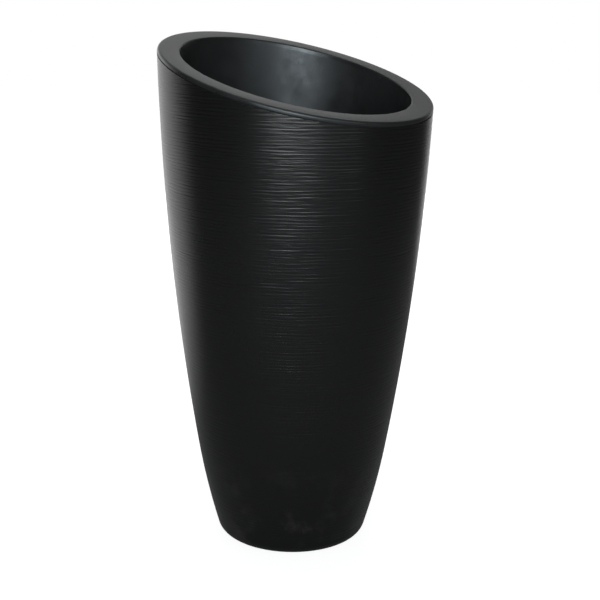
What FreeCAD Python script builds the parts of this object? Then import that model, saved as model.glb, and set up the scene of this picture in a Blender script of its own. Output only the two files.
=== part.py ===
# A tall planter: a tapered shell with a slanted top, and the planting liner that drops into it.
# Lengths are millimetres and angles are degrees. The floor is z = 0, the axis is Z, and the rim is low at -Y.
import FreeCAD, Part
import Sketcher
import math
import os
import re

# Driving dimensions. Heights are above the shell's underside, which stands on the foot pads.
SIZES = {
    # outside of the body; the height is to the high edge of the rim before it is rounded
    "overall_height": 700.0,
    "rim_tilt": 15.4,
    "top_radius": 185.7,
    "joint_radius": 132.3,
    "joint_height": 130.0,
    "upper_curve_radius": 3740.0,
    "lower_curve_radius": 1000.0,
    "base_corner": 20.0,
    # shell
    "shell_wall": 5.0,
    "shell_floor": 8.0,
    "floor_corner": 14.0,
    "drain_radius": 12.0,
    # foot pads
    "foot_stand": 2.0,
    "foot_socket_depth": 3.0,
    "foot_radius": 11.0,
    "foot_ring_radius": 58.0,
    "foot_clearance": 0.2,
    "foot_edge": 1.0,
    # rim flange and its gasket
    "rim_width": 30.0,
    "flange_thickness": 5.0,
    "rim_outer_edge": 2.5,
    "rim_inner_edge": 2.0,
    "gasket_thickness": 1.2,
    "gasket_inset": 0.8,
    # planting liner
    "liner_wall": 4.0,
    "liner_floor": 5.0,
    "liner_underside": 250.0,
    "liner_corner": 18.0,
    "liner_clearance": 0.6,
    "liner_rib_thickness": 4.0,
    "liner_rib_length": 80.0,
    "liner_drain_radius": 5.0,
    "liner_drain_share": 0.61,
    # drain grid
    "grid_clearance": 2.0,
    "grid_thickness": 5.0,
    "grid_leg_height": 22.0,
    "grid_leg_radius": 7.0,
    "grid_hole_radius": 5.0,
    # where its legs and hole rings stand, as shares of the grid's own radius
    "grid_leg_share": 0.69,
    "grid_inner_share": 0.28,
    "grid_middle_share": 0.49,
    "grid_outer_share": 0.87,
    # drain plug and its seal
    "seal_thickness": 2.0,
    "seal_radius": 21.0,
    "plug_clearance": 0.3,
    "plug_tip_height": 1.5,
    "plug_head_radius": 22.0,
    "plug_head_thickness": 5.0,
    # pull knob of the plug and of the grid
    "knob_stem_radius": 6.0,
    "knob_stem_height": 9.0,
    "knob_radius": 12.0,
    "knob_thickness": 8.0,
    "knob_edge": 3.0,
    # how far every cut runs past what it cuts
    "cut_overrun": 20.0,
}

# Sizes that follow from the driving dimensions, as the sheet's own formulas.
DERIVED = {
    "body_height": "overall_height - foot_stand",
    "profile_top": "body_height + cut_overrun",
    "cut_reach": "top_radius + cut_overrun",
    # the two tangent arcs of the outside, from the chord of the upper one
    "chord_rise": "profile_top - joint_height",
    "chord_run": "top_radius - joint_radius",
    "chord": "sqrt(chord_rise^2 + chord_run^2)",
    "chord_depth": "sqrt(upper_curve_radius^2 - chord^2 / 4)",
    "upper_centre_r": "(joint_radius + top_radius) / 2 - chord_depth * chord_rise / chord",
    "upper_centre_z": "(joint_height + profile_top) / 2 + chord_depth * chord_run / chord",
    "curve_ratio": "lower_curve_radius / upper_curve_radius",
    "lower_centre_r": "joint_radius + (upper_centre_r - joint_radius) * curve_ratio",
    "lower_centre_z": "joint_height + (upper_centre_z - joint_height) * curve_ratio",
    # heights on the axis of the slanted planes
    "rim_middle": "body_height - top_radius * tan(rim_tilt)",
    "flange_middle": "rim_middle - flange_thickness / cos(rim_tilt)",
    "seat_middle": "flange_middle - gasket_thickness / cos(rim_tilt)",
    "seat_low": "seat_middle - cut_reach * tan(rim_tilt)",
    "rib_low": "flange_middle - top_radius * tan(rim_tilt) - liner_rib_length",
    # levels inside
    "liner_floor_top": "liner_underside + liner_floor",
    "grid_level": "liner_floor_top + grid_leg_height",
    "grid_top": "grid_level + grid_thickness",
    "basin_curve_radius": "upper_curve_radius - rim_width",
    "grid_drop": "grid_level - upper_centre_z",
    "grid_radius": "upper_centre_r + sqrt(basin_curve_radius^2 - grid_drop^2) - grid_clearance",
    "grid_leg_ring": "grid_leg_share * grid_radius",
    "grid_inner_ring": "grid_inner_share * grid_radius",
    "grid_middle_ring": "grid_middle_share * grid_radius",
    "grid_outer_ring": "grid_outer_share * grid_radius",
    "liner_drain_ring": "liner_drain_share * grid_radius",
    "plug_head_under": "shell_floor + seal_thickness",
    "plug_head_top": "plug_head_under + plug_head_thickness",
}

LINER_RIBS = 8
LINER_DRAINS = 8
GRID_LEGS = 4
GRID_INNER_HOLES = 8
GRID_MIDDLE_HOLES = 12
GRID_OUTER_HOLES = 20
FOOT_PADS = 4

doc = FreeCAD.newDocument("tall_planter")
sheet = doc.addObject("Spreadsheet::Sheet", "Sizes")


def fill_sheet():
    """Write the driving dimensions and the formulas that follow from them, one row each."""
    rows = [(name, str(size)) for name, size in SIZES.items()]
    rows += [(name, "=" + formula) for name, formula in DERIVED.items()]
    for row, (name, content) in enumerate(rows, 1):
        sheet.set(f"A{row}", name)
        sheet.set(f"B{row}", content)
        sheet.setAlias(f"B{row}", name)
    doc.recompute()


def tied(text):
    """Turn a formula in size names into one that other objects can be bound to."""
    def with_sheet(match):
        word = match.group()
        return "Sizes." + word if word in SIZES or word in DERIVED else word
    return re.sub(r"[a-z_]+", with_sheet, text)


def number(text):
    """The present value of a formula in size names."""
    return float(sheet.evalExpression(tied(text)))


def wall_radius(height, inset):
    """Radius of the surface that lies inset inside the upper outer wall, at a height."""
    return f"upper_centre_r + sqrt((upper_curve_radius - ({inset}))^2 - ({height} - upper_centre_z)^2)"


def lower_wall_radius(height, inset):
    """The same for the lower outer wall, below the joint of the two arcs."""
    return f"lower_centre_r + sqrt((lower_curve_radius - ({inset}))^2 - ({height} - lower_centre_z)^2)"


def make_body(label):
    """A body whose own z = 0 is the shell's underside."""
    body = doc.addObject("PartDesign::Body", label)
    body.Label = label
    body.setExpression("Placement.Base.z", tied("foot_stand"))
    return body


def origin_feature(body, role):
    return [feature for feature in body.Origin.OriginFeatures if feature.Role == role][0]


def make_sketch(body, name, role, lift=None):
    """A sketch on one of the body's origin planes, raised by a size if one is given."""
    sketch = body.newObject("Sketcher::SketchObject", name)
    sketch.AttachmentSupport = (origin_feature(body, role), [""])
    sketch.MapMode = "FlatFace"
    if lift:
        sketch.setExpression("AttachmentOffset.Base.z", tied(lift))
    return sketch


def bind(sketch, constraint, formula):
    """Add a constraint and tie its size to a formula."""
    index = sketch.addConstraint(constraint)
    sketch.setExpression(f"Constraints[{index}]", tied(formula))


def place_point(sketch, edge, end, across, up):
    """Fix a point of the sketch by its two distances from the origin."""
    for kind, axis, formula in (("DistanceX", -2, across), ("DistanceY", -1, up)):
        distance = number(formula)
        if formula == "0":
            sketch.addConstraint(Sketcher.Constraint("PointOnObject", edge, end, axis))
        elif distance < 0:
            bind(sketch, Sketcher.Constraint(kind, edge, end, -1, 1, -distance), f"-({formula})")
        else:
            bind(sketch, Sketcher.Constraint(kind, -1, 1, edge, end, distance), formula)


def bulging_arc(low, high, radius):
    """The arc from a low point to a high one that bulges away from the axis."""
    chord = high - low
    middle = (low + high) / 2
    depth = math.sqrt(radius ** 2 - chord.Length ** 2 / 4)
    inward = FreeCAD.Vector(-chord.y, chord.x, 0) / chord.Length
    centre = middle + inward * depth
    angles = [math.atan2(point.y - centre.y, point.x - centre.x) for point in (low, high)]
    circle = Part.Circle(centre, FreeCAD.Vector(0, 0, 1), radius)
    return Part.ArcOfCircle(circle, *angles)


def draw_loop(sketch, corners, arcs=None):
    """Draw a closed outline through corners; arcs gives the radius of each edge that isn't straight."""
    arcs = arcs or {}
    points = [FreeCAD.Vector(number(across), number(up), 0) for across, up in corners]
    ends = []
    for index, start in enumerate(points):
        finish = points[(index + 1) % len(points)]
        if index in arcs and start.y < finish.y:
            sketch.addGeometry(bulging_arc(start, finish, number(arcs[index])))
            ends.append((1, 2))
        elif index in arcs:
            sketch.addGeometry(bulging_arc(finish, start, number(arcs[index])))
            ends.append((2, 1))
        else:
            sketch.addGeometry(Part.LineSegment(start, finish))
            ends.append((1, 2))
    for index, (across, up) in enumerate(corners):
        before = (index - 1) % len(corners)
        joined = Sketcher.Constraint("Coincident", before, ends[before][1], index, ends[index][0])
        sketch.addConstraint(joined)
        place_point(sketch, index, ends[index][0], across, up)
    for index, formula in arcs.items():
        bind(sketch, Sketcher.Constraint("Radius", index, number(formula)), formula)


def draw_circle(sketch, across, radius):
    """Draw a circle whose centre lies on the sketch's own X axis."""
    centre = FreeCAD.Vector(number(across), 0, 0)
    index = sketch.addGeometry(Part.Circle(centre, FreeCAD.Vector(0, 0, 1), number(radius)))
    place_point(sketch, index, 3, across, "0")
    bind(sketch, Sketcher.Constraint("Radius", index, number(radius)), radius)


def draw_ring_section(sketch, outer_inset, inner_inset, low):
    """Draw the section of a ring that follows the upper wall, from a height to the profile's top."""
    corners = [
        (wall_radius(low, inner_inset), low),
        (wall_radius(low, outer_inset), low),
        (wall_radius("profile_top", outer_inset), "profile_top"),
        (wall_radius("profile_top", inner_inset), "profile_top"),
    ]
    draw_loop(sketch, corners, {
        1: f"upper_curve_radius - ({outer_inset})",
        3: f"upper_curve_radius - ({inner_inset})",
    })


def revolve(body, sketch, name):
    feature = body.newObject("PartDesign::Revolution", name)
    feature.Profile = sketch
    feature.ReferenceAxis = (sketch, ["V_Axis"])
    feature.Angle = 360
    doc.recompute()
    return feature


def pad(body, sketch, name, length, symmetric=False):
    feature = body.newObject("PartDesign::Pad", name)
    feature.Profile = sketch
    feature.SideType = "Symmetric" if symmetric else "One side"
    feature.setExpression("Length", tied(length))
    doc.recompute()
    return feature


def pocket(body, sketch, name, length=None, symmetric=False, upward=False):
    """Cut a sketch out of the body, by a length or right through, and make sure that it cut."""
    before = body.Shape.Volume
    feature = body.newObject("PartDesign::Pocket", name)
    feature.Profile = sketch
    feature.SideType = "Symmetric" if symmetric else "One side"
    feature.Reversed = upward
    if length:
        feature.setExpression("Length", tied(length))
    else:
        feature.Type = "ThroughAll"
    doc.recompute()
    if not body.Shape.Volume < before:
        raise RuntimeError(f"{name} cuts nothing")
    return feature


def repeat_round(body, feature, name, count):
    """Repeat a feature evenly round the axis."""
    pattern = body.newObject("PartDesign::PolarPattern", name)
    pattern.Originals = [feature]
    pattern.Axis = (origin_feature(body, "Z_Axis"), [""])
    pattern.Angle = 360
    pattern.Occurrences = count
    body.Tip = pattern
    doc.recompute()
    return pattern


def slanted_cut(body, name, middle, above):
    """Cut away all that lies above, or below, a plane that slants like the rim."""
    sketch = make_sketch(body, name + "_outline", "YZ_Plane")
    limit = "profile_top + cut_reach" if above else "-cut_reach"
    draw_loop(sketch, [
        ("-cut_reach", f"{middle} - cut_reach * tan(rim_tilt)"),
        ("cut_reach", f"{middle} + cut_reach * tan(rim_tilt)"),
        ("cut_reach", limit),
        ("-cut_reach", limit),
    ])
    return pocket(body, sketch, name, "2 * cut_reach", symmetric=True)


def flat_faces(body):
    """The flat faces of the body's last feature, lowest first."""
    faces = [face for face in body.Tip.Shape.Faces if isinstance(face.Surface, Part.Plane)]
    return sorted(faces, key=lambda face: face.CenterOfMass.z)


def outer_edges(face):
    return face.OuterWire.Edges


def inner_edges(face):
    """The edges of the holes in a face."""
    rims = [wire for wire in face.Wires if not wire.isSame(face.OuterWire)]
    return [edge for wire in rims for edge in wire.Edges]


def round_edges(body, edges, name, radius):
    """Round edges of the body's present shape."""
    base = body.Tip
    names = []
    for index, edge in enumerate(base.Shape.Edges, 1):
        if any(edge.isSame(wanted) for wanted in edges):
            names.append(f"Edge{index}")
    fillet = body.newObject("PartDesign::Fillet", name)
    fillet.Base = (base, names)
    fillet.setExpression("Radius", tied(radius))
    doc.recompute()
    return fillet


def holes_round(body, name, ring, radius, count, lift):
    """A ring of round holes, cut down from a height right through."""
    sketch = make_sketch(body, name + "_circle", "XY_Plane", lift)
    draw_circle(sketch, ring, radius)
    hole = pocket(body, sketch, name)
    return repeat_round(body, hole, name + "_ring", count)


def knob_corners(foot):
    """The outline of a pull knob that stands on a level, from its foot to the axis."""
    under = f"{foot} + knob_stem_height"
    over = f"{under} + knob_thickness"
    return [
        ("knob_stem_radius", foot),
        ("knob_stem_radius", under),
        ("knob_radius", under),
        ("knob_radius", over),
        ("0", over),
    ]


def make_outer_shell():
    """The tapered outer shell, with its top edge cut on the slant as the seat of the gasket."""
    body = make_body("outer_shell")
    section = make_sketch(body, "shell_section", "XZ_Plane")
    outer_radii = {1: "lower_curve_radius", 2: "upper_curve_radius"}
    inner_radii = {4: "upper_curve_radius - shell_wall", 5: "lower_curve_radius - shell_wall"}
    draw_loop(section, [
        ("0", "0"),
        (lower_wall_radius("0", "0"), "0"),
        ("joint_radius", "joint_height"),
        ("top_radius", "profile_top"),
        (wall_radius("profile_top", "shell_wall"), "profile_top"),
        (wall_radius("joint_height", "shell_wall"), "joint_height"),
        (lower_wall_radius("shell_floor", "shell_wall"), "shell_floor"),
        ("0", "shell_floor"),
    ], {**outer_radii, **inner_radii})
    revolve(body, section, "shell_turn")
    slanted_cut(body, "shell_seat", "seat_middle", above=True)
    round_edges(body, outer_edges(flat_faces(body)[0]), "base_rounding", "base_corner")
    round_edges(body, outer_edges(flat_faces(body)[1]), "floor_rounding", "floor_corner")
    drain = make_sketch(body, "drain_circle", "XY_Plane")
    draw_circle(drain, "0", "drain_radius")
    pocket(body, drain, "drain_bore", "shell_floor + cut_overrun", upward=True)
    socket = make_sketch(body, "socket_circle", "XY_Plane")
    draw_circle(socket, "foot_ring_radius", "foot_radius")
    cut = pocket(body, socket, "foot_socket", "foot_socket_depth", upward=True)
    repeat_round(body, cut, "foot_sockets", FOOT_PADS)
    return body


def make_foot_pad(index):
    """A rubber pad pressed into its socket, standing proud of the shell's underside."""
    body = make_body(f"foot_pad_{index + 1}")
    turn = 360 * index / FOOT_PADS
    body.setExpression("Placement.Base.x", tied(f"foot_ring_radius * cos({turn})"))
    body.setExpression("Placement.Base.y", tied(f"foot_ring_radius * sin({turn})"))
    body.setExpression("Placement.Base.z", "0")
    circle = make_sketch(body, "pad_circle", "XY_Plane")
    draw_circle(circle, "0", "foot_radius - foot_clearance")
    pad(body, circle, "pad_block", "foot_stand + foot_socket_depth")
    round_edges(body, outer_edges(flat_faces(body)[0]), "pad_rounding", "foot_edge")
    return body


def make_rim_gasket():
    """The soft strip on the shell's top edge, set back so that it shows as a dark seam."""
    body = make_body("rim_gasket")
    section = make_sketch(body, "gasket_section", "XZ_Plane")
    draw_ring_section(section, "gasket_inset", "shell_wall", "seat_low")
    revolve(body, section, "gasket_turn")
    slanted_cut(body, "gasket_top", "flange_middle", above=True)
    slanted_cut(body, "gasket_under", "seat_middle", above=False)
    return body


def make_planting_liner():
    """The smooth planting basin, whose wide slanted flange is the rim and hangs on the shell."""
    body = make_body("planting_liner")
    basin_inset = "rim_width - liner_wall"
    middle_inset = "rim_width - liner_wall / 2"
    flange = make_sketch(body, "flange_section", "XZ_Plane")
    draw_ring_section(flange, "0", middle_inset, "seat_low")
    revolve(body, flange, "flange_turn")
    slanted_cut(body, "flange_under", "flange_middle", above=False)
    basin = make_sketch(body, "basin_section", "XZ_Plane")
    draw_loop(basin, [
        ("0", "liner_underside"),
        (wall_radius("liner_underside", basin_inset), "liner_underside"),
        (wall_radius("profile_top", basin_inset), "profile_top"),
        (wall_radius("profile_top", "rim_width"), "profile_top"),
        (wall_radius("liner_floor_top", "rim_width"), "liner_floor_top"),
        ("0", "liner_floor_top"),
    ], {1: f"upper_curve_radius - ({basin_inset})", 3: "basin_curve_radius"})
    revolve(body, basin, "basin_turn")
    rib = make_sketch(body, "rib_section", "XZ_Plane")
    draw_ring_section(rib, "shell_wall + liner_clearance", middle_inset, "rib_low")
    first_rib = pad(body, rib, "centring_rib", "liner_rib_thickness", symmetric=True)
    repeat_round(body, first_rib, "centring_ribs", LINER_RIBS)
    slanted_cut(body, "rim_face", "rim_middle", above=True)
    rim = flat_faces(body)[-1]
    round_edges(body, outer_edges(rim), "rim_outer_rounding", "rim_outer_edge")
    rim = flat_faces(body)[-1]
    round_edges(body, inner_edges(rim), "rim_inner_rounding", "rim_inner_edge")
    round_edges(body, outer_edges(flat_faces(body)[0]), "basin_rounding", "liner_corner + liner_wall")
    round_edges(body, outer_edges(flat_faces(body)[1]), "basin_floor_rounding", "liner_corner")
    holes_round(body, "liner_drain", "liner_drain_ring", "liner_drain_radius", LINER_DRAINS, "liner_floor_top")
    return body


def make_drain_grid():
    """The perforated false floor that keeps soil above the liner's drain holes."""
    body = make_body("drain_grid")
    disc = make_sketch(body, "grid_section", "XZ_Plane")
    draw_loop(disc, [
        ("0", "grid_level"),
        ("grid_radius", "grid_level"),
        ("grid_radius", "grid_top"),
        *knob_corners("grid_top"),
    ])
    revolve(body, disc, "grid_turn")
    round_edges(body, outer_edges(flat_faces(body)[-1]), "grid_knob_rounding", "knob_edge")
    leg = make_sketch(body, "leg_circle", "XY_Plane", "liner_floor_top")
    draw_circle(leg, "grid_leg_ring", "grid_leg_radius")
    first_leg = pad(body, leg, "grid_leg", "grid_leg_height")
    repeat_round(body, first_leg, "grid_legs", GRID_LEGS)
    rings = (
        ("grid_inner", GRID_INNER_HOLES),
        ("grid_middle", GRID_MIDDLE_HOLES),
        ("grid_outer", GRID_OUTER_HOLES),
    )
    for name, count in rings:
        holes_round(body, name + "_hole", name + "_ring", "grid_hole_radius", count, "grid_top")
    return body


def make_drain_plug():
    """The push-in plug of the shell's drain, pulled by its knob when the liner is out."""
    body = make_body("drain_plug")
    section = make_sketch(body, "plug_section", "XZ_Plane")
    shank_radius = "drain_radius - plug_clearance"
    draw_loop(section, [
        ("0", "plug_tip_height"),
        (shank_radius, "plug_tip_height"),
        (shank_radius, "plug_head_under"),
        ("plug_head_radius", "plug_head_under"),
        ("plug_head_radius", "plug_head_top"),
        *knob_corners("plug_head_top"),
    ])
    revolve(body, section, "plug_turn")
    round_edges(body, outer_edges(flat_faces(body)[-1]), "plug_knob_rounding", "knob_edge")
    return body


def make_plug_seal():
    """The flat rubber ring between the plug's head and the shell's floor."""
    body = make_body("plug_seal")
    ring = make_sketch(body, "seal_circles", "XY_Plane", "shell_floor")
    draw_circle(ring, "0", "seal_radius")
    draw_circle(ring, "0", "drain_radius")
    pad(body, ring, "seal_ring", "seal_thickness")
    return body


def check_document(pieces):
    """Stop before anything is written if an object failed or a piece isn't one sound solid."""
    for thing in doc.Objects:
        if "Invalid" in thing.State or "Error" in thing.State:
            raise RuntimeError(f"{thing.Label} failed: {thing.State}")
    for piece in pieces:
        shape = piece.Shape
        if shape.isNull() or not shape.isValid() or len(shape.Solids) != 1:
            raise RuntimeError(f"{piece.Label} isn't one sound solid")


def main():
    fill_sheet()
    pieces = [
        make_outer_shell(),
        make_rim_gasket(),
        make_planting_liner(),
        make_drain_grid(),
        make_drain_plug(),
        make_plug_seal(),
    ]
    pieces += [make_foot_pad(index) for index in range(FOOT_PADS)]
    doc.recompute()
    check_document(pieces)
    os.makedirs("parts", exist_ok=True)
    for piece in pieces:
        piece.Shape.exportStep(f"parts/{piece.Label}.step")
        box = piece.Shape.BoundBox
        print(f"{piece.Label}: volume {piece.Shape.Volume:.0f}, z {box.ZMin:.2f} to {box.ZMax:.2f}")


main()
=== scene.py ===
"""A tall black planter with a slanted rim: a ribbed shell and the smooth planting basin that hangs in it.

Lengths are metres. The floor is z = 0, the planter's axis is Z, and the rim is low at -Y.
"""

import math

import bpy
from mathutils import Matrix, Vector


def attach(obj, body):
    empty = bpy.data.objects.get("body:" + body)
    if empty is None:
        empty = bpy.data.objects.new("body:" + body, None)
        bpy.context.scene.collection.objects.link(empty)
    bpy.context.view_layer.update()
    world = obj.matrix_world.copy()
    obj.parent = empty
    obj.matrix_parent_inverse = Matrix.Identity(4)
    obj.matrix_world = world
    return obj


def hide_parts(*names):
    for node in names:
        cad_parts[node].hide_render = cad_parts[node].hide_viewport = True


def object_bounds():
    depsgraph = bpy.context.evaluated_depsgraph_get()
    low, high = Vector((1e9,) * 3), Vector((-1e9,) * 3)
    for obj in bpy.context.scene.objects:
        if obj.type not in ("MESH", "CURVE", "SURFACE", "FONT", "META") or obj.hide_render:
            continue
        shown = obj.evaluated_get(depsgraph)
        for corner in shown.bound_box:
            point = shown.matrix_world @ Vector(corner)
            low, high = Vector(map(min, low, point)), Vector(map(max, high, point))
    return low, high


bl_info = {
    "name": "Tall planter",
    "version": (1, 0, 0),
    "blender": (4, 5, 0),
    "location": "View3D > Sidebar > Planter",
    "description": "Dresses the solid parts of a tall planter for a studio picture",
    "category": "Object",
}

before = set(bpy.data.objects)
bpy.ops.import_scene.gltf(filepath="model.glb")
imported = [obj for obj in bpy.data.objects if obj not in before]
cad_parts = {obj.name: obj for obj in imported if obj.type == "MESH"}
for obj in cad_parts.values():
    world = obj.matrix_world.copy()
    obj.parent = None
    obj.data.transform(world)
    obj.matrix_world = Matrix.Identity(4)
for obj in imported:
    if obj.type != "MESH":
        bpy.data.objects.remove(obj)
cad_low, cad_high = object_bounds()

# Vertices this near to each other are one, after turning and after cutting
TURNED_MERGE = 0.00005
CUT_MERGE = 0.00001
# Faces that meet at a sharper angle than this, in degrees, keep a hard edge
SHARP_ANGLE = 40


class WallSizes(bpy.types.PropertyGroup):
    """The outside of the planter, two tangent arcs turned about the axis, and its slanted rim."""

    underside: bpy.props.FloatProperty(
        name="Underside", description="Height of the shell's underside", default=0.002, unit="LENGTH")
    joint_height: bpy.props.FloatProperty(
        name="Joint height", description="Height at which the two arcs meet", default=0.132, unit="LENGTH")
    joint_radius: bpy.props.FloatProperty(
        name="Joint radius", description="Radius at which the two arcs meet", default=0.1323, unit="LENGTH")
    top_height: bpy.props.FloatProperty(
        name="Top height", description="Height of the upper arc's end, over the rim", default=0.72,
        unit="LENGTH")
    top_radius: bpy.props.FloatProperty(
        name="Top radius", description="Radius of the upper arc's end", default=0.1857, unit="LENGTH")
    upper_curve: bpy.props.FloatProperty(
        name="Upper curve", description="Radius of the upper arc", default=3.74, unit="LENGTH")
    lower_curve: bpy.props.FloatProperty(
        name="Lower curve", description="Radius of the lower arc", default=1.0, unit="LENGTH")
    base_corner: bpy.props.FloatProperty(
        name="Base corner", description="Rounding of the shell's lower edge", default=0.02, unit="LENGTH")
    rim_tilt: bpy.props.FloatProperty(
        name="Rim tilt", description="Slant of the rim", default=math.radians(15.4), subtype="ANGLE")
    rim_middle: bpy.props.FloatProperty(
        name="Rim middle", description="Height of the rim's face on the axis", default=0.648851,
        unit="LENGTH")


class ShellSizes(bpy.types.PropertyGroup):
    """The ribbed shell."""

    wall: bpy.props.FloatProperty(
        name="Wall", description="Thickness of the shell's wall", default=0.005, unit="LENGTH")
    floor: bpy.props.FloatProperty(
        name="Floor", description="Thickness of the shell's floor", default=0.008, unit="LENGTH")
    floor_corner: bpy.props.FloatProperty(
        name="Floor corner", description="Rounding between floor and wall inside", default=0.014,
        unit="LENGTH")
    drain_radius: bpy.props.FloatProperty(
        name="Drain radius", description="Radius of the drain bore", default=0.012, unit="LENGTH")
    seat_drop: bpy.props.FloatProperty(
        name="Seat drop", description="Depth of the shell's top edge under the rim's face", default=0.0062,
        unit="LENGTH")
    rib_pitch: bpy.props.FloatProperty(
        name="Rib pitch", description="Mean distance between two ribs", default=0.0044, unit="LENGTH")
    rib_depth: bpy.props.FloatProperty(
        name="Rib depth", description="Depth of the grooves between the ribs", default=0.0002,
        unit="LENGTH")
    rib_wander: bpy.props.FloatProperty(
        name="Rib wander", description="How far a rib strays from its height", default=0.006, unit="LENGTH")
    row_spacing: bpy.props.FloatProperty(
        name="Row spacing", description="Height of one row of faces on the ribs", default=0.0007,
        unit="LENGTH")
    turn_steps: bpy.props.IntProperty(
        name="Turn steps", description="Faces in each row", default=96)


class BasinSizes(bpy.types.PropertyGroup):
    """The planting basin and its flange, which is the rim."""

    rim_width: bpy.props.FloatProperty(
        name="Rim width", description="Width of the rim's face", default=0.03, unit="LENGTH")
    flange: bpy.props.FloatProperty(
        name="Flange", description="Thickness of the rim's flange", default=0.005, unit="LENGTH")
    outer_edge: bpy.props.FloatProperty(
        name="Outer edge", description="Rounding of the rim's outer edge", default=0.0032, unit="LENGTH")
    edge_draft: bpy.props.FloatProperty(
        name="Edge draft", description="Lean of the flange's side", default=math.radians(12),
        subtype="ANGLE")
    edge_margin: bpy.props.FloatProperty(
        name="Edge margin", description="How far the flange's side stays inside the shell's wall",
        default=0.00025, unit="LENGTH")
    inner_edge: bpy.props.FloatProperty(
        name="Inner edge", description="Rounding of the rim's inner edge", default=0.002, unit="LENGTH")
    wall: bpy.props.FloatProperty(
        name="Wall", description="Thickness of the basin's wall", default=0.004, unit="LENGTH")
    floor: bpy.props.FloatProperty(
        name="Floor", description="Thickness of the basin's floor", default=0.005, unit="LENGTH")
    underside: bpy.props.FloatProperty(
        name="Underside", description="Height of the basin's underside", default=0.252, unit="LENGTH")
    corner: bpy.props.FloatProperty(
        name="Corner", description="Rounding between floor and wall inside", default=0.018, unit="LENGTH")
    level_height: bpy.props.FloatProperty(
        name="Level height", description="Height under which the rows of faces lie level", default=0.36,
        unit="LENGTH")
    fin_count: bpy.props.IntProperty(
        name="Fins", description="Centring fins under the flange", default=8)
    fin_thickness: bpy.props.FloatProperty(
        name="Fin thickness", description="Thickness of a centring fin", default=0.004, unit="LENGTH")
    fin_low: bpy.props.FloatProperty(
        name="Fin low end", description="Height of the fins' lower ends", default=0.5125, unit="LENGTH")
    fin_clearance: bpy.props.FloatProperty(
        name="Fin clearance", description="Gap between a fin and the shell", default=0.0006, unit="LENGTH")
    drain_count: bpy.props.IntProperty(
        name="Drains", description="Drain holes in the basin's floor", default=8)
    drain_radius: bpy.props.FloatProperty(
        name="Drain radius", description="Radius of a drain hole", default=0.005, unit="LENGTH")
    drain_ring: bpy.props.FloatProperty(
        name="Drain ring", description="Radius of the ring of drain holes", default=0.07455, unit="LENGTH")
    turn_steps: bpy.props.IntProperty(
        name="Turn steps", description="Faces in each row", default=128)


class Finishes(bpy.types.PropertyGroup):
    """Colours of the finishes."""

    shell: bpy.props.FloatVectorProperty(
        name="Shell", description="Colour of the ribbed shell", default=(0.0055, 0.0055, 0.0056),
        size=3, subtype="COLOR", min=0, max=1)
    basin: bpy.props.FloatVectorProperty(
        name="Basin", description="Colour of the rim and basin", default=(0.014, 0.014, 0.014),
        size=3, subtype="COLOR", min=0, max=1)
    inner: bpy.props.FloatVectorProperty(
        name="Inner parts", description="Colour of the grid and the plug", default=(0.02, 0.02, 0.021),
        size=3, subtype="COLOR", min=0, max=1)
    rubber: bpy.props.FloatVectorProperty(
        name="Rubber", description="Colour of the gasket, seal and pads", default=(0.007, 0.007, 0.007),
        size=3, subtype="COLOR", min=0, max=1)
    dust: bpy.props.FloatVectorProperty(
        name="Dust", description="Colour of the thin dust film", default=(0.11, 0.105, 0.095),
        size=3, subtype="COLOR", min=0, max=1)
    paper: bpy.props.FloatVectorProperty(
        name="Studio paper", description="Colour of the studio floor", default=(0.35, 0.35, 0.35),
        size=3, subtype="COLOR", min=0, max=1)


class CameraSettings(bpy.types.PropertyGroup):
    """Where the picture is taken from."""

    place: bpy.props.FloatVectorProperty(
        name="Place", description="Camera's place", default=(-1.19985, -1.15937, 0.7459), size=3,
        subtype="TRANSLATION", unit="LENGTH")
    bearing: bpy.props.FloatProperty(
        name="Bearing", description="Turn about the vertical", default=math.radians(-46.267),
        subtype="ANGLE")
    dip: bpy.props.FloatProperty(
        name="Dip", description="How far the camera looks down", default=0.23925, subtype="ANGLE")
    roll: bpy.props.FloatProperty(
        name="Roll", description="Turn about the line of sight", default=0.01369, subtype="ANGLE")
    lens: bpy.props.FloatProperty(
        name="Lens", description="Focal length in millimetres", default=74.16)


def upper_centre(wall):
    """Radius and height of the upper arc's centre, from its two ends."""
    rise = wall.top_height - wall.joint_height
    run = wall.top_radius - wall.joint_radius
    chord = math.hypot(rise, run)
    depth = math.sqrt(wall.upper_curve ** 2 - chord ** 2 / 4)
    radius = (wall.joint_radius + wall.top_radius) / 2 - depth * rise / chord
    height = (wall.joint_height + wall.top_height) / 2 + depth * run / chord
    return radius, height


def lower_centre(wall):
    """Radius and height of the lower arc's centre, in line with the upper one and the joint."""
    radius, height = upper_centre(wall)
    ratio = wall.lower_curve / wall.upper_curve
    return (
        wall.joint_radius + (radius - wall.joint_radius) * ratio,
        wall.joint_height + (height - wall.joint_height) * ratio,
    )


def wall_radius(wall, height, inset=0.0):
    """Radius of the surface that lies inset inside the outer wall, at a height."""
    if height < wall.joint_height:
        centre, curve = lower_centre(wall), wall.lower_curve
    else:
        centre, curve = upper_centre(wall), wall.upper_curve
    return centre[0] + math.sqrt((curve - inset) ** 2 - (height - centre[1]) ** 2)


def corner_arc(wall, floor, inset, rounding):
    """Centre and two ends of the rounding between a level floor and the lower wall."""
    centre_r, centre_z = lower_centre(wall)
    height = floor + rounding
    reach = wall.lower_curve - inset - rounding
    radius = centre_r + math.sqrt(reach ** 2 - (height - centre_z) ** 2)
    share = rounding / reach
    end = (radius + (radius - centre_r) * share, height + (height - centre_z) * share)
    return (radius, height), (radius, floor), end


def select_only(piece):
    """Leave object mode's selection on one piece alone."""
    bpy.ops.object.select_all(action="DESELECT")
    piece.select_set(True)
    bpy.context.view_layer.objects.active = piece


def line_to(radius, height):
    return {"end": Vector((radius, 0, height))}


def arc_to(centre, end, steps):
    return {"end": Vector((end[0], 0, end[1])), "centre": Vector((centre[0], 0, centre[1])), "steps": steps}


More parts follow.
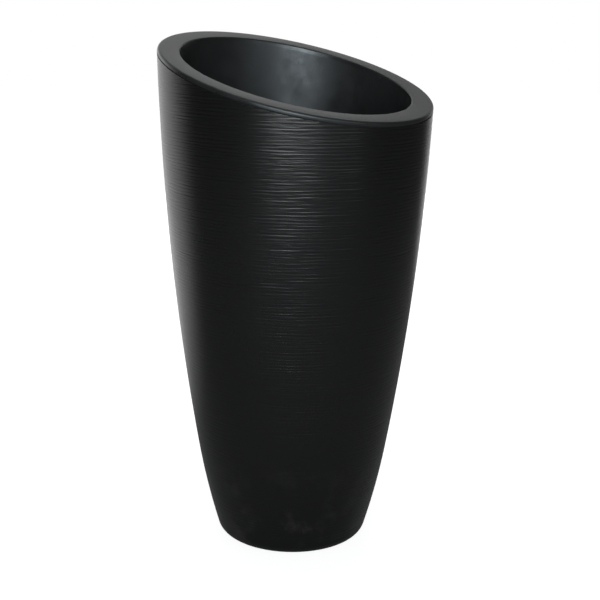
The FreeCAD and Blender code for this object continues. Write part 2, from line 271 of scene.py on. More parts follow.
def draw_outline(name, start, moves):
    """A new object in edit mode: an open outline, drawn from one vertex by extruding and spinning."""
    bpy.ops.object.select_all(action="DESELECT")
    bpy.ops.mesh.primitive_plane_add(size=0.002, location=(start[0], 0, start[1]))
    piece = bpy.context.object
    piece.name = name
    piece.data.name = name
    bpy.ops.object.mode_set(mode="EDIT")
    bpy.ops.mesh.select_all(action="SELECT")
    bpy.ops.mesh.merge(type="CENTER")
    here = Vector((start[0], 0, start[1]))
    for move in moves:
        end = move["end"]
        if "centre" in move:
            centre = move["centre"]
            before = math.atan2(here.z - centre.z, here.x - centre.x)
            after = math.atan2(end.z - centre.z, end.x - centre.x)
            bpy.ops.mesh.spin(steps=move["steps"], angle=after - before, center=centre, axis=(0, 1, 0))
        else:
            bpy.ops.mesh.extrude_region_move(TRANSFORM_OT_translate={"value": end - here})
        here = end
    return piece


def close_seams(distance):
    """In edit mode, merge all vertices that lie within a distance and turn the faces outwards."""
    bpy.ops.mesh.select_all(action="SELECT")
    bpy.ops.mesh.remove_doubles(threshold=distance)
    bpy.ops.mesh.normals_make_consistent(inside=False)


def turn_outline(piece, steps):
    """Spin the outline round the axis, close its seam and poles, and put the place into the mesh."""
    bpy.ops.mesh.select_all(action="SELECT")
    bpy.ops.mesh.spin(steps=steps, angle=math.tau, center=(0, 0, 0), axis=(0, 0, 1))
    close_seams(TURNED_MERGE)
    bpy.ops.object.mode_set(mode="OBJECT")
    bpy.ops.object.transform_apply(location=True, rotation=True, scale=True)


def slanted_plane(wall, drop):
    """A point and the upward normal of the plane that lies a drop under the rim's face."""
    normal = Vector((0, -math.sin(wall.rim_tilt), math.cos(wall.rim_tilt)))
    return Vector((0, 0, wall.rim_middle)) - normal * drop, normal


def cut_above(piece, point, normal):
    """Cut away what lies over a plane, and close the cut."""
    select_only(piece)
    bpy.ops.object.mode_set(mode="EDIT")
    bpy.ops.mesh.select_all(action="SELECT")
    bpy.ops.mesh.bisect(plane_co=point, plane_no=normal, use_fill=True, clear_outer=True)
    bpy.ops.mesh.select_all(action="SELECT")
    bpy.ops.mesh.normals_make_consistent(inside=False)
    bpy.ops.object.mode_set(mode="OBJECT")


def smooth(piece, angle):
    """Shade a piece smooth, with edges sharper than an angle kept."""
    select_only(piece)
    bpy.ops.object.shade_smooth_by_angle(angle=math.radians(angle))


def dress(piece, material):
    """Give a whole piece one finish."""
    piece.data.materials.clear()
    piece.data.materials.append(material)


def add_node(tree, kind, **settings):
    """A node of a kind, with its options set by name and its unlinked inputs by socket."""
    node = tree.nodes.new(kind)
    inputs = settings.pop("inputs", {})
    for name, setting in settings.items():
        setattr(node, name, setting)
    for socket, setting in inputs.items():
        node.inputs[socket].default_value = setting
    return node


def new_group(name, kind, sockets):
    """An empty node group with its sockets, and its input and output nodes."""
    group = bpy.data.node_groups.new(name, kind)
    for label, direction, socket_type, default in sockets:
        socket = group.interface.new_socket(name=label, in_out=direction, socket_type=socket_type)
        if default is not None:
            socket.default_value = default
    return group, group.nodes.new("NodeGroupInput"), group.nodes.new("NodeGroupOutput")


def math_node(tree, operation, first, second=None):
    """A Math node fed from sockets or plain numbers."""
    node = add_node(tree, "ShaderNodeMath", operation=operation)
    for socket, source in zip(node.inputs, (first, second)):
        if isinstance(source, (int, float)):
            socket.default_value = source
        elif source is not None:
            tree.links.new(source, socket)
    return node.outputs["Value"]


def stretched_noise(tree, vector, across, along, detail):
    """Noise drawn out round the planter: its scale per metre across and along the axis."""
    stretch = add_node(tree, "ShaderNodeVectorMath", operation="MULTIPLY")
    stretch.inputs[1].default_value = (across, across, along)
    tree.links.new(vector, stretch.inputs[0])
    noise = add_node(tree, "ShaderNodeTexNoise", inputs={"Scale": 1.0, "Detail": detail, "Roughness": 0.5})
    noise.normalize = True
    tree.links.new(stretch.outputs[0], noise.inputs["Vector"])
    return noise.outputs["Fac"]


def rib_grooves_group():
    """Geometry nodes that press the wandering grooves between the ribs into the marked wall."""
    group, source, result = new_group("Rib grooves", "GeometryNodeTree", [
        ("Geometry", "INPUT", "NodeSocketGeometry", None),
        ("Pitch", "INPUT", "NodeSocketFloat", 0.0044),
        ("Depth", "INPUT", "NodeSocketFloat", 0.0002),
        ("Wander", "INPUT", "NodeSocketFloat", 0.006),
        ("Geometry", "OUTPUT", "NodeSocketGeometry", None),
    ])
    place = group.nodes.new("GeometryNodeInputPosition").outputs["Position"]
    height = add_node(group, "ShaderNodeSeparateXYZ")
    group.links.new(place, height.inputs[0])
    rising_share = 0.66
    tooth_height = 0.75
    strand_height = 2.8
    mean_groove = 0.8
    deepest_groove = 1.7
    most_uneven = 2.2
    least_uneven = -0.2
    drift = stretched_noise(group, place, across=7.0, along=40.0, detail=3.0)
    drift = math_node(group, "SUBTRACT", drift, 0.5)
    drift = math_node(group, "MULTIPLY", drift, source.outputs["Wander"])
    strayed = math_node(group, "ADD", height.outputs["Z"], drift)
    turns = math_node(group, "FRACT", math_node(group, "DIVIDE", strayed, source.outputs["Pitch"]))
    climb = math_node(group, "DIVIDE", turns, rising_share)
    fall = math_node(group, "DIVIDE", math_node(group, "SUBTRACT", 1.0, turns), 1.0 - rising_share)
    tooth = math_node(group, "MINIMUM", climb, fall)
    combed = stretched_noise(group, place, across=24.0, along=680.0, detail=1.0)
    combed = math_node(group, "MULTIPLY", math_node(group, "SUBTRACT", combed, 0.5), strand_height)
    tooth = math_node(group, "MULTIPLY", tooth, tooth_height)
    groove = math_node(group, "SUBTRACT", math_node(group, "SUBTRACT", mean_groove, tooth), combed)
    groove = math_node(group, "MINIMUM", math_node(group, "MAXIMUM", groove, 0.0), deepest_groove)
    uneven = stretched_noise(group, place, across=16.0, along=60.0, detail=2.0)
    uneven = math_node(group, "ADD", math_node(group, "MULTIPLY", uneven, most_uneven), least_uneven)
    press = math_node(group, "MULTIPLY", groove, uneven)
    press = math_node(group, "MULTIPLY", press, source.outputs["Depth"])
    marked = add_node(group, "GeometryNodeInputNamedAttribute", data_type="FLOAT")
    marked.inputs["Name"].default_value = "ribbed_wall"
    press = math_node(group, "MULTIPLY", press, marked.outputs["Attribute"])
    inward = add_node(group, "ShaderNodeVectorMath", operation="SCALE")
    group.links.new(group.nodes.new("GeometryNodeInputNormal").outputs["Normal"], inward.inputs[0])
    group.links.new(math_node(group, "MULTIPLY", press, -1.0), inward.inputs["Scale"])
    move = group.nodes.new("GeometryNodeSetPosition")
    group.links.new(source.outputs["Geometry"], move.inputs["Geometry"])
    group.links.new(inward.outputs["Vector"], move.inputs["Offset"])
    group.links.new(move.outputs["Geometry"], result.inputs["Geometry"])
    return group


def grain_group():
    """Shader nodes for a moulded surface: a fine grain to bump, and a slow tone for gloss."""
    group, source, result = new_group("Moulded grain", "ShaderNodeTree", [
        ("Grain scale", "INPUT", "NodeSocketFloat", 900.0),
        ("Tone scale", "INPUT", "NodeSocketFloat", 14.0),
        ("Height", "OUTPUT", "NodeSocketFloat", None),
        ("Tone", "OUTPUT", "NodeSocketFloat", None),
    ])
    place = group.nodes.new("ShaderNodeTexCoord").outputs["Object"]
    grain = add_node(group, "ShaderNodeTexNoise", inputs={"Detail": 3.0, "Roughness": 0.6})
    pits = add_node(group, "ShaderNodeTexVoronoi", feature="F1")
    tone = add_node(group, "ShaderNodeTexNoise", inputs={"Detail": 4.0, "Roughness": 0.55})
    for node in (grain, pits, tone):
        group.links.new(place, node.inputs["Vector"])
    group.links.new(source.outputs["Grain scale"], grain.inputs["Scale"])
    group.links.new(math_node(group, "MULTIPLY", source.outputs["Grain scale"], 0.4), pits.inputs["Scale"])
    group.links.new(source.outputs["Tone scale"], tone.inputs["Scale"])
    dimples = math_node(group, "MULTIPLY", pits.outputs["Distance"], 0.6)
    group.links.new(math_node(group, "ADD", grain.outputs["Fac"], dimples), result.inputs["Height"])
    group.links.new(tone.outputs["Fac"], result.inputs["Tone"])
    return group


def dust_group():
    """Shader nodes for a patchy dust film: on what faces up, all over, and in smudges near the floor."""
    group, source, result = new_group("Dust film", "ShaderNodeTree", [
        ("Clean colour", "INPUT", "NodeSocketColor", (0.01, 0.01, 0.01, 1)),
        ("Dust colour", "INPUT", "NodeSocketColor", (0.1, 0.1, 0.1, 1)),
        ("Everywhere", "INPUT", "NodeSocketFloat", 0.01),
        ("Facing up", "INPUT", "NodeSocketFloat", 0.05),
        ("Near floor", "INPUT", "NodeSocketFloat", 0.0),
        ("Color", "OUTPUT", "NodeSocketColor", None),
    ])
    place = group.nodes.new("ShaderNodeTexCoord")
    parts = group.nodes.new("ShaderNodeSeparateXYZ")
    group.links.new(place.outputs["Normal"], parts.inputs[0])
    up = math_node(group, "MAXIMUM", parts.outputs["Z"], 0.0)
    up = math_node(group, "MULTIPLY", up, source.outputs["Facing up"])
    film = math_node(group, "ADD", up, source.outputs["Everywhere"])
    patches = add_node(group, "ShaderNodeTexNoise", inputs={
        "Scale": 26.0, "Detail": 6.0, "Roughness": 0.65})
    group.links.new(place.outputs["Object"], patches.inputs["Vector"])
    film = math_node(group, "MULTIPLY", film, math_node(group, "MULTIPLY", patches.outputs["Fac"], 2.0))
    spot = group.nodes.new("ShaderNodeSeparateXYZ")
    group.links.new(place.outputs["Object"], spot.inputs[0])
    low = add_node(group, "ShaderNodeMapRange", inputs={
        "From Min": 0.01, "From Max": 0.16, "To Min": 1, "To Max": 0})
    group.links.new(spot.outputs["Z"], low.inputs["Value"])
    smears = add_node(group, "ShaderNodeMapRange", inputs={"From Min": 0.5, "From Max": 0.75})
    group.links.new(patches.outputs["Fac"], smears.inputs["Value"])
    scuff = math_node(group, "MULTIPLY", low.outputs["Result"], smears.outputs["Result"])
    scuff = math_node(group, "MULTIPLY", scuff, source.outputs["Near floor"])
    mask = math_node(group, "ADD", film, scuff)
    blend = add_node(group, "ShaderNodeMix", data_type="RGBA")
    group.links.new(mask, blend.inputs["Factor"])
    group.links.new(source.outputs["Clean colour"], blend.inputs[6])
    group.links.new(source.outputs["Dust colour"], blend.inputs[7])
    group.links.new(blend.outputs[2], result.inputs["Color"])
    return group


def rim_marks_group(wall):
    """Shader nodes that mark the rim's flat face, and the polished band just under it."""
    group, source, result = new_group("Rim marks", "ShaderNodeTree", [
        ("Band", "INPUT", "NodeSocketFloat", 0.006),
        ("Face", "OUTPUT", "NodeSocketFloat", None),
        ("Edge", "OUTPUT", "NodeSocketFloat", None),
    ])
    point, normal = slanted_plane(wall, 0.0)
    place = group.nodes.new("ShaderNodeTexCoord").outputs["Object"]
    offset = add_node(group, "ShaderNodeVectorMath", operation="SUBTRACT")
    offset.inputs[1].default_value = point
    group.links.new(place, offset.inputs[0])
    depth = add_node(group, "ShaderNodeVectorMath", operation="DOT_PRODUCT")
    depth.inputs[1].default_value = -normal
    group.links.new(offset.outputs[0], depth.inputs[0])
    under = add_node(group, "ShaderNodeMapRange", inputs={"From Min": 0.0004, "From Max": 0.0016})
    group.links.new(depth.outputs["Value"], under.inputs["Value"])
    within = math_node(group, "LESS_THAN", depth.outputs["Value"], source.outputs["Band"])
    group.links.new(math_node(group, "SUBTRACT", 1.0, under.outputs["Result"]), result.inputs["Face"])
    group.links.new(math_node(group, "MULTIPLY", under.outputs["Result"], within), result.inputs["Edge"])
    return group


def moulded_material(name, colour, dust_colour, settings):
    """A moulded black plastic or rubber, made from the grain and dust groups with its own numbers."""
    material = bpy.data.materials.new(name)
    material.use_nodes = True
    material.diffuse_color = (*colour, 1)
    tree = material.node_tree
    shader = tree.nodes["Principled BSDF"]
    shader.inputs["Specular IOR Level"].default_value = settings["specular"]
    shader.inputs["Specular Tint"].default_value = (*settings.get("sheen_tint", (1, 1, 1)), 1)
    grain = add_node(tree, "ShaderNodeGroup", node_tree=bpy.data.node_groups["Moulded grain"])
    grain.inputs["Grain scale"].default_value = settings["grain_scale"]
    grain.inputs["Tone scale"].default_value = settings["tone_scale"]
    dust = add_node(tree, "ShaderNodeGroup", node_tree=bpy.data.node_groups["Dust film"])
    dust.inputs["Clean colour"].default_value = (*colour, 1)
    dust.inputs["Dust colour"].default_value = (*dust_colour, 1)
    dust.inputs["Everywhere"].default_value = settings["dust"]
    dust.inputs["Facing up"].default_value = settings["dust_up"]
    dust.inputs["Near floor"].default_value = settings.get("smudges", 0.0)
    tree.links.new(dust.outputs["Color"], shader.inputs["Base Color"])
    gloss = add_node(tree, "ShaderNodeMapRange")
    low, high = settings["roughness"]
    gloss.inputs["From Min"].default_value = 0.25
    gloss.inputs["From Max"].default_value = 0.75
    gloss.inputs["To Min"].default_value = low
    gloss.inputs["To Max"].default_value = high
    tree.links.new(grain.outputs["Tone"], gloss.inputs["Value"])
    roughness = gloss.outputs["Result"]
    height = math_node(tree, "MULTIPLY", grain.outputs["Height"], settings["bump"])
    if "rim_roughness" in settings:
        marks = add_node(tree, "ShaderNodeGroup", node_tree=bpy.data.node_groups["Rim marks"])
        rubbed = math_node(tree, "MULTIPLY", marks.outputs["Edge"], settings["edge_polish"])
        matte = add_node(tree, "ShaderNodeMix", data_type="FLOAT")
        tree.links.new(marks.outputs["Face"], matte.inputs["Factor"])
        tree.links.new(math_node(tree, "SUBTRACT", roughness, rubbed), matte.inputs["A"])
        matte.inputs["B"].default_value = settings["rim_roughness"]
        roughness = matte.outputs["Result"]
        speckle = math_node(tree, "MULTIPLY", grain.outputs["Height"], settings["rim_speckle"])
        speckle = math_node(tree, "MULTIPLY", speckle, marks.outputs["Face"])
        height = math_node(tree, "ADD", height, speckle)
    if "combed" in settings:
        place = tree.nodes.new("ShaderNodeTexCoord").outputs["Object"]
        strands = stretched_noise(tree, place, across=28.0, along=900.0, detail=1.5)
        height = math_node(tree, "ADD", height, math_node(tree, "MULTIPLY", strands, settings["combed"]))
    tree.links.new(roughness, shader.inputs["Roughness"])
    bump = add_node(tree, "ShaderNodeBump")
    bump.inputs["Distance"].default_value = 0.0002
    tree.links.new(height, bump.inputs["Height"])
    tree.links.new(bump.outputs["Normal"], shader.inputs["Normal"])
    return material


class PLANTER_OT_finishes(bpy.types.Operator):
    """Build the shared node groups and the finishes, and dress the solid parts that stay"""

    bl_idname = "planter.finishes"
    bl_label = "Finishes"

    def execute(self, context):
        colours = context.scene.planter_finishes
        grain_group()
        dust_group()
        rim_marks_group(context.scene.planter_wall)
        moulded_material("ribbed_black_plastic", colours.shell, colours.dust, {
            "specular": 0.375, "grain_scale": 1100.0, "tone_scale": 9.0, "roughness": (0.23, 0.29),
            "bump": 0.2, "dust": 0.004, "dust_up": 0.03, "smudges": 0.2, "combed": 1.2,
        })
        moulded_material("satin_black_plastic", colours.basin, colours.dust, {
            "specular": 0.59, "grain_scale": 700.0, "tone_scale": 34.0, "roughness": (0.3, 0.56),
            "bump": 0.2, "dust": 0.004, "dust_up": 0.03, "edge_polish": 0.1, "rim_roughness": 0.45,
            "rim_speckle": 0.6, "sheen_tint": (0.86, 0.95, 1.0),
        })
        inner = moulded_material("dark_grey_plastic", colours.inner, colours.dust, {
            "specular": 0.4, "grain_scale": 1000.0, "tone_scale": 25.0, "roughness": (0.42, 0.56),
            "bump": 0.25, "dust": 0.01, "dust_up": 0.06,
        })
        rubber = moulded_material("black_rubber", colours.rubber, colours.dust, {
            "specular": 0.25, "grain_scale": 700.0, "tone_scale": 40.0, "roughness": (0.66, 0.8),
            "bump": 0.3, "dust": 0.012, "dust_up": 0.03,
        })
        for name in ("drain_grid", "drain_plug"):
            dress(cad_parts[name], inner)
        for name in ("rim_gasket", "plug_seal", "foot_pad_1", "foot_pad_2", "foot_pad_3", "foot_pad_4"):
            dress(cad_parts[name], rubber)
        return {"FINISHED"}


class PLANTER_OT_shell(bpy.types.Operator):
    """Turn the shell, press the grooves between its ribs, and cut its top on the slant"""

    bl_idname = "planter.shell"
    bl_label = "Ribbed shell"

    def execute(self, context):
        wall = context.scene.planter_wall
        sizes = context.scene.planter_shell
        floor_top = wall.underside + sizes.floor
        top = cad_high.z
        centre, start, corner_end = corner_arc(wall, wall.underside, 0.0, wall.base_corner)
        inner_centre, inner_start, inner_end = corner_arc(wall, floor_top, sizes.wall, sizes.floor_corner)
        joint = (wall.joint_radius, wall.joint_height)
        inner_joint = (wall_radius(wall, wall.joint_height, sizes.wall), wall.joint_height)
        top_edge = (wall_radius(wall, top), top)
        inner_top = (wall_radius(wall, top, sizes.wall), top)
        lower_rows = round((joint[1] - corner_end[1]) / sizes.row_spacing)
        upper_rows = round((top - joint[1]) / sizes.row_spacing)
        shell = draw_outline("ribbed_shell", (sizes.drain_radius, floor_top), [
            line_to(sizes.drain_radius, wall.underside),
            line_to(*start),
            arc_to(centre, corner_end, 12),
            arc_to(lower_centre(wall), joint, lower_rows),
            arc_to(upper_centre(wall), top_edge, upper_rows),
            line_to(*inner_top),
            arc_to(upper_centre(wall), inner_joint, 24),
            arc_to(lower_centre(wall), inner_end, 10),
            arc_to(inner_centre, inner_start, 6),
            line_to(sizes.drain_radius, floor_top),
        ])
        turn_outline(shell, sizes.turn_steps)
        skin = 0.001
        fade_height = 0.012
        ribbed = shell.vertex_groups.new(name="ribbed_wall")
        for vertex in shell.data.vertices:
            radius = math.hypot(vertex.co.x, vertex.co.y)
            outside = vertex.co.z > corner_end[1] and radius > wall_radius(wall, vertex.co.z, skin)
            if outside:
                weight = min(1.0, (vertex.co.z - corner_end[1]) / fade_height)
                ribbed.add([vertex.index], weight, "REPLACE")
        select_only(shell)
        bpy.ops.object.modifier_add(type="NODES")
        grooves = shell.modifiers[-1]
        grooves.node_group = rib_grooves_group()
        settings = {"Pitch": sizes.rib_pitch, "Depth": sizes.rib_depth, "Wander": sizes.rib_wander}
        for item in grooves.node_group.interface.items_tree:
            if item.name in settings:
                grooves[item.identifier] = settings[item.name]
        bpy.ops.object.modifier_apply(modifier=grooves.name)
        cut_above(shell, *slanted_plane(wall, sizes.seat_drop))
        smooth(shell, SHARP_ANGLE)
        dress(shell, bpy.data.materials["ribbed_black_plastic"])
        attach(shell, "shell")
        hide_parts("outer_shell")
        return {"FINISHED"}


def slant_rim(piece, wall, sizes, side_foot):
    """Slide the rows of a turned basin along its walls, so that its level rim lies on the slant.

    What lies over side_foot near the outer edge leans with the slant, so that the flange's side is
    square to it.
    """
    slope = math.tan(wall.rim_tilt)
    level_height = sizes.level_height
    slanted_height = wall.rim_middle - 0.02 - level_height
    rounds = 6
    face_middle = sizes.rim_width / 2
    outer_part = face_middle - sizes.outer_edge
    for vertex in piece.data.vertices:
        x, y, z = vertex.co
        radius = math.hypot(x, y)
        share = min(1.0, max(0.0, (z - level_height) / slanted_height))
        if share == 0 or radius == 0:
            continue
        inset = wall_radius(wall, z) - radius
        height = z
        for _ in range(rounds):
            moved = wall_radius(wall, height) - inset
            height = z + share * slope * y * moved / radius
        scale = (wall_radius(wall, height) - inset) / radius
        lean = 0.0
        if z > side_foot and inset < face_middle:
            lean = (z - side_foot) * math.sin(wall.rim_tilt)
            lean *= min(1.0, (face_middle - inset) / outer_part)
        vertex.co = (x * scale, y * scale - lean, height)


def copies_round(piece, count):
    """Copy a piece evenly round the axis, each copy with its own mesh, and join them all."""
    pieces = [piece]
    for index in range(1, count):
        select_only(piece)
        bpy.ops.object.duplicate(linked=False)
        copy = bpy.context.object
        bpy.ops.transform.rotate(value=math.tau * index / count, orient_axis="Z", center_override=(0, 0, 0))
        bpy.ops.object.transform_apply(location=True, rotation=True, scale=True)
        pieces.append(copy)
    for copy in pieces:
        copy.select_set(True)
    bpy.context.view_layer.objects.active = piece
    bpy.ops.object.join()
    return piece


def make_fins(wall, shell, sizes):
    """The centring fins under the flange, one modelled and the rest copied, cut off at the flange."""
    high = wall.top_height
    bpy.ops.object.select_all(action="DESELECT")
    bpy.ops.mesh.primitive_cube_add(size=1.0, location=(0, 0, 0))
    fin = bpy.context.object
    fin.name = "centring_fins"
    for vertex in fin.data.vertices:
        height = high if vertex.co.z > 0 else sizes.fin_low
        inset = shell.wall + sizes.fin_clearance if vertex.co.x > 0 else sizes.rim_width - sizes.wall / 2
        side = math.copysign(sizes.fin_thickness / 2, vertex.co.y)
        vertex.co = (wall_radius(wall, height, inset), side, height)
    bpy.ops.object.modifier_add(type="BEVEL")
    fin.modifiers[-1].width = 0.0008
    fin.modifiers[-1].segments = 2
    bpy.ops.object.modifier_apply(modifier=fin.modifiers[-1].name)
    copies_round(fin, sizes.fin_count)
    cut_above(fin, *slanted_plane(wall, sizes.flange))
    return fin


def bore_drains(basin, sizes):
    """Cut the ring of drain holes through the basin's floor."""
    bpy.ops.object.select_all(action="DESELECT")
    bpy.ops.mesh.primitive_cylinder_add(
        vertices=32, radius=sizes.drain_radius, depth=4 * sizes.floor,
        location=(sizes.drain_ring, 0, sizes.underside + sizes.floor / 2))
    drill = bpy.context.object
    bpy.ops.object.transform_apply(location=True, rotation=True, scale=True)
    copies_round(drill, sizes.drain_count)
    select_only(basin)
    bpy.ops.object.modifier_add(type="BOOLEAN")
    cut = basin.modifiers[-1]
    cut.operation = "DIFFERENCE"
    cut.object = drill
    bpy.ops.object.modifier_apply(modifier=cut.name)
    bpy.data.objects.remove(drill)
    bpy.ops.object.mode_set(mode="EDIT")
    close_seams(CUT_MERGE)
    bpy.ops.object.mode_set(mode="OBJECT")


class PLANTER_OT_basin(bpy.types.Operator):
    """Turn the planting basin with its flange, slant its rim, and add the fins and drain holes"""

    bl_idname = "planter.basin"
    bl_label = "Planting basin"

    def execute(self, context):
        wall = context.scene.planter_wall
        shell = context.scene.planter_shell
        sizes = context.scene.planter_basin
        floor_top = sizes.underside + sizes.floor
        rim = wall.rim_middle
        under = rim - sizes.flange / math.cos(wall.rim_tilt)
        back = sizes.rim_width - sizes.wall
        corner = sizes.corner
        outer_corner = corner + sizes.wall
        low_radius = wall_radius(wall, sizes.underside + outer_corner, back)
        floor_radius = wall_radius(wall, floor_top + corner, sizes.rim_width)
        outer = wall_radius(wall, rim, sizes.edge_margin)
        inner = wall_radius(wall, rim, sizes.rim_width)
        outer_drop = rim - sizes.outer_edge
        inner_drop = rim - sizes.inner_edge
        lip = 0.0005
        neck = 0.002
        seat_inset = 0.006
        edge_run = 0.001
        floor_ring = 0.03
        draft = (outer_drop - under - lip) * math.tan(sizes.edge_draft)
        rounding = outer - draft - sizes.outer_edge
        upper = upper_centre(wall)
        basin = draw_outline("planting_basin", (0.0, sizes.underside), [
            line_to(floor_ring, sizes.underside),
            line_to(low_radius - outer_corner, sizes.underside),
            arc_to((low_radius - outer_corner, sizes.underside + outer_corner),
                   (low_radius, sizes.underside + outer_corner), 8),
            arc_to(upper, (wall_radius(wall, under - neck, back), under - neck), 40),
            line_to(wall_radius(wall, under, back) + neck, under),
            line_to(wall_radius(wall, under) - seat_inset, under),
            line_to(wall_radius(wall, under, sizes.edge_margin) - lip, under),
            line_to(wall_radius(wall, under + lip, sizes.edge_margin), under + lip),
            line_to(outer - draft, outer_drop),
            arc_to((rounding, outer_drop), (rounding, rim), 8),
            line_to(inner + sizes.inner_edge, rim),
            arc_to((inner + sizes.inner_edge, inner_drop), (inner, inner_drop), 8),
            line_to(wall_radius(wall, inner_drop - edge_run, sizes.rim_width), inner_drop - edge_run),
            arc_to(upper, (floor_radius, floor_top + corner), 48),
            arc_to((floor_radius - corner, floor_top + corner), (floor_radius - corner, floor_top), 8),
            line_to(floor_ring, floor_top),
            line_to(0.0, floor_top),
        ])
        turn_outline(basin, sizes.turn_steps)
        slant_rim(basin, wall, sizes, under + lip)
        bore_drains(basin, sizes)
        fins = make_fins(wall, shell, sizes)
        select_only(basin)
        fins.select_set(True)
        bpy.ops.object.join()
        smooth(basin, SHARP_ANGLE)
        dress(basin, bpy.data.materials["satin_black_plastic"])
        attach(basin, "liner")
        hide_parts("planting_liner")
        return {"FINISHED"}


def area_lamp(name, place, aim, size, radiance, colour=(1, 1, 1)):
    """A soft box that faces a point; radiance is how bright its face is."""
    data = bpy.data.lights.new(name, "AREA")
    data.shape = "RECTANGLE"
    data.size, data.size_y = size
    data.energy = radiance * math.pi * size[0] * size[1]
    data.color = colour
    lamp = bpy.data.objects.new(name, data)
    bpy.context.scene.collection.objects.link(lamp)
    lamp.location = place
    lamp.rotation_euler = (Vector(aim) - Vector(place)).to_track_quat("-Z", "Y").to_euler()
    lamp.visible_camera = False
    return lamp


def backdrop_group():
    """Shader nodes that tell how far a level direction lies within a sector round another one."""
    group, source, result = new_group("Backdrop mask", "ShaderNodeTree", [
        ("Vector", "INPUT", "NodeSocketVector", None),
        ("Direction", "INPUT", "NodeSocketVector", None),
        ("Outside", "INPUT", "NodeSocketFloat", 0.5),
        ("Inside", "INPUT", "NodeSocketFloat", 0.82),
        ("Mask", "OUTPUT", "NodeSocketFloat", None),
    ])
    level = add_node(group, "ShaderNodeVectorMath", operation="MULTIPLY")
    level.inputs[1].default_value = (1, 1, 0)
    group.links.new(source.outputs["Vector"], level.inputs[0])
    unit = add_node(group, "ShaderNodeVectorMath", operation="NORMALIZE")
    group.links.new(level.outputs[0], unit.inputs[0])
    along = add_node(group, "ShaderNodeVectorMath", operation="DOT_PRODUCT")
    group.links.new(source.outputs["Direction"], along.inputs[1])
    group.links.new(unit.outputs[0], along.inputs[0])
    edge = add_node(group, "ShaderNodeMapRange", interpolation_type="SMOOTHSTEP")
    group.links.new(source.outputs["Outside"], edge.inputs["From Min"])
    group.links.new(source.outputs["Inside"], edge.inputs["From Max"])
    group.links.new(along.outputs["Value"], edge.inputs["Value"])
    group.links.new(edge.outputs["Result"], result.inputs["Mask"])
    return group


def shown_white(tree, mask):
    """How far a ray meets a plain white: all that the camera sees, and mirrored rays on the backdrop."""
    light_path = tree.nodes.new("ShaderNodeLightPath")
    seen = math_node(tree, "MAXIMUM", light_path.outputs["Is Camera Ray"],
                     light_path.outputs["Is Transmission Ray"])
    mirrored = math_node(tree, "MULTIPLY", light_path.outputs["Is Glossy Ray"], mask)
    return math_node(tree, "MAXIMUM", seen, mirrored)


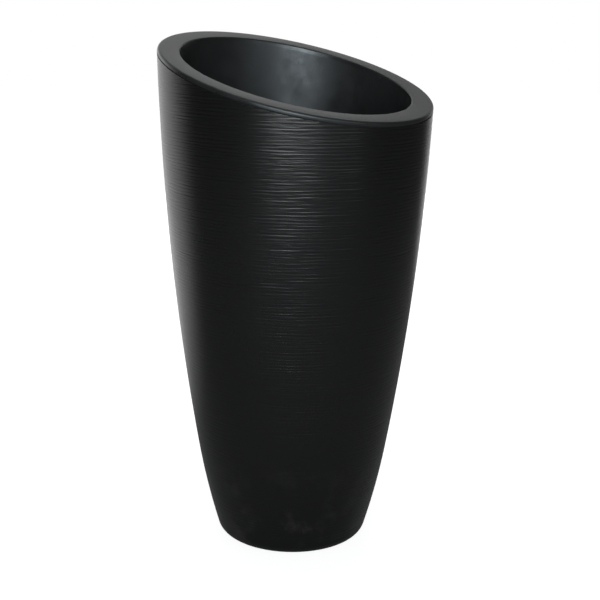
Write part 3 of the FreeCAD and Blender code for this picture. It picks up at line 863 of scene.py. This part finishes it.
class PLANTER_OT_stage(bpy.types.Operator):
    """Set up the studio paper, the lamps, the world and the camera"""

    bl_idname = "planter.stage"
    bl_label = "Stage"

    def execute(self, context):
        scene = context.scene
        view = scene.planter_camera
        scene.view_settings.view_transform = "Standard"
        data = bpy.data.cameras.new("photo_camera")
        data.lens = view.lens
        data.sensor_width = 36.0
        camera = bpy.data.objects.new("photo_camera", data)
        scene.collection.objects.link(camera)
        turn = (Matrix.Rotation(view.bearing, 4, "Z")
                @ Matrix.Rotation(math.pi / 2 - view.dip, 4, "X")
                @ Matrix.Rotation(view.roll, 4, "Z"))
        camera.matrix_world = Matrix.Translation(view.place) @ turn
        scene.camera = camera
        forward = Vector((math.sin(-view.bearing), math.cos(view.bearing), 0))
        right = Vector((math.cos(view.bearing), math.sin(view.bearing), 0))
        backdrop = backdrop_group()

        bpy.ops.object.select_all(action="DESELECT")
        bpy.ops.mesh.primitive_circle_add(vertices=96, radius=9.0, fill_type="NGON", location=(0, 0, 0))
        paper = context.object
        paper.name = "studio_paper"
        material = bpy.data.materials.new("studio_paper")
        material.use_nodes = True
        tree = material.node_tree
        shader = tree.nodes["Principled BSDF"]
        shader.inputs["Base Color"].default_value = (*scene.planter_finishes.paper, 1)
        shader.inputs["Roughness"].default_value = 0.9
        shader.inputs["Specular IOR Level"].default_value = 0.1
        shader.inputs["Emission Color"].default_value = (1, 1, 1, 1)
        place = tree.nodes.new("ShaderNodeTexCoord")
        reach = add_node(tree, "ShaderNodeVectorMath", operation="LENGTH")
        tree.links.new(place.outputs["Object"], reach.inputs[0])
        floor_white = 0.9
        swept = None
        for direction, outside, inside, near, far in (
                (forward * 0.82 - right * 0.57, 0.6, 0.92, 0.45, 1.3),
                (forward, 0.75, 0.97, 1.2, 2.3)):
            mask = add_node(tree, "ShaderNodeGroup", node_tree=backdrop)
            tree.links.new(place.outputs["Object"], mask.inputs["Vector"])
            mask.inputs["Direction"].default_value = direction.normalized()
            mask.inputs["Outside"].default_value = outside
            mask.inputs["Inside"].default_value = inside
            away = add_node(tree, "ShaderNodeMapRange", inputs={
                "From Min": near, "From Max": far, "To Max": floor_white})
            tree.links.new(reach.outputs["Value"], away.inputs["Value"])
            sector = math_node(tree, "MULTIPLY", mask.outputs["Mask"], away.outputs["Result"])
            swept = sector if swept is None else math_node(tree, "MAXIMUM", swept, sector)
        open_floor = add_node(tree, "ShaderNodeMapRange", inputs={
            "From Min": 0.15, "From Max": 0.42, "To Min": 0.88, "To Max": 1.0})
        tree.links.new(reach.outputs["Value"], open_floor.inputs["Value"])
        lift = math_node(tree, "MULTIPLY", shown_white(tree, swept), open_floor.outputs["Result"])
        tree.links.new(lift, shader.inputs["Emission Strength"])
        dress(paper, material)

        world = bpy.data.worlds.new("studio")
        scene.world = world
        world.use_nodes = True
        tree = world.node_tree
        place = tree.nodes.new("ShaderNodeTexCoord")
        mask = add_node(tree, "ShaderNodeGroup", node_tree=backdrop)
        tree.links.new(place.outputs["Generated"], mask.inputs["Vector"])
        mask.inputs["Direction"].default_value = (forward - right * 0.27).normalized()
        parts = tree.nodes.new("ShaderNodeSeparateXYZ")
        tree.links.new(place.outputs["Generated"], parts.inputs[0])
        fall = add_node(tree, "ShaderNodeMapRange", inputs={
            "From Min": 0.22, "From Max": 0.58, "To Min": 1.0, "To Max": 0.2})
        tree.links.new(parts.outputs["Z"], fall.inputs["Value"])
        glow = math_node(tree, "MULTIPLY", mask.outputs["Mask"], fall.outputs["Result"])
        white = shown_white(tree, glow)
        light_path = tree.nodes.new("ShaderNodeLightPath")
        fill_level = 0.12
        dark_level = 0.03
        fill = math_node(tree, "MULTIPLY", light_path.outputs["Is Diffuse Ray"], fill_level)
        strength = math_node(tree, "MAXIMUM", white, math_node(tree, "MAXIMUM", fill, dark_level))
        tree.links.new(strength, tree.nodes["Background"].inputs["Strength"])
        tree.nodes["Background"].inputs["Color"].default_value = (1, 1, 1, 1)

        aim = Vector((0, 0, 0.55))
        cool = (0.93, 0.98, 1.0)
        warm = (1.0, 0.98, 0.95)
        front = -forward * 3.0 - right * 0.14 + Vector((0, 0, 1.07))
        area_lamp("front_box", front, aim, (1.2, 1.16), 4.7, cool)
        area_lamp("front_halo", front - forward * 0.1, aim, (2.3, 1.16), 3.9, cool)
        wide = -forward * 2.4 + right * 0.5 + Vector((0, 0, 1.0))
        area_lamp("front_wide", wide, aim, (4.8, 1.2), 0.95, cool)
        left = forward * 1.85 - right * 1.55 + Vector((0, 0, 0.9))
        area_lamp("left_strip", left, aim, (2.2, 1.0), 0.12)
        strip = forward * 2.1 + right * 1.2 + Vector((0, 0, 0.8))
        area_lamp("right_strip", strip, aim, (0.9, 0.4), 0.5)
        back = forward * 2.2 - right * 1.0 + Vector((0, 0, 1.7))
        area_lamp("back_panel", back, aim, (3.2, 1.5), 0.55)
        behind = forward * 3.2 + Vector((0, 0, 0.65))
        area_lamp("back_box", behind, aim, (1.6, 1.1), 3.0)
        area_lamp("top_box", Vector((0, 0, 2.6)), aim, (1.2, 1.2), 1.1, warm)
        return {"FINISHED"}


class PLANTER_PT_panel(bpy.types.Panel):
    """Lists the steps that dress the planter"""

    bl_idname = "PLANTER_PT_panel"
    bl_label = "Planter"
    bl_space_type = "VIEW_3D"
    bl_region_type = "UI"
    bl_category = "Planter"

    def draw(self, context):
        for step in STEPS:
            self.layout.operator(step.bl_idname)


STEPS = (PLANTER_OT_finishes, PLANTER_OT_shell, PLANTER_OT_basin, PLANTER_OT_stage)
GROUPS = {
    "planter_wall": WallSizes,
    "planter_shell": ShellSizes,
    "planter_basin": BasinSizes,
    "planter_finishes": Finishes,
    "planter_camera": CameraSettings,
}


def register():
    for group in GROUPS.values():
        bpy.utils.register_class(group)
    for name, group in GROUPS.items():
        setattr(bpy.types.Scene, name, bpy.props.PointerProperty(type=group))
    for step in STEPS:
        bpy.utils.register_class(step)
    bpy.utils.register_class(PLANTER_PT_panel)


def unregister():
    bpy.utils.unregister_class(PLANTER_PT_panel)
    for step in reversed(STEPS):
        bpy.utils.unregister_class(step)
    for name in GROUPS:
        delattr(bpy.types.Scene, name)
    for group in reversed(GROUPS.values()):
        bpy.utils.unregister_class(group)


def main():
    register()
    bpy.ops.planter.finishes()
    bpy.ops.planter.shell()
    bpy.ops.planter.basin()
    bpy.ops.planter.stage()


if __name__ == "__main__":
    main()
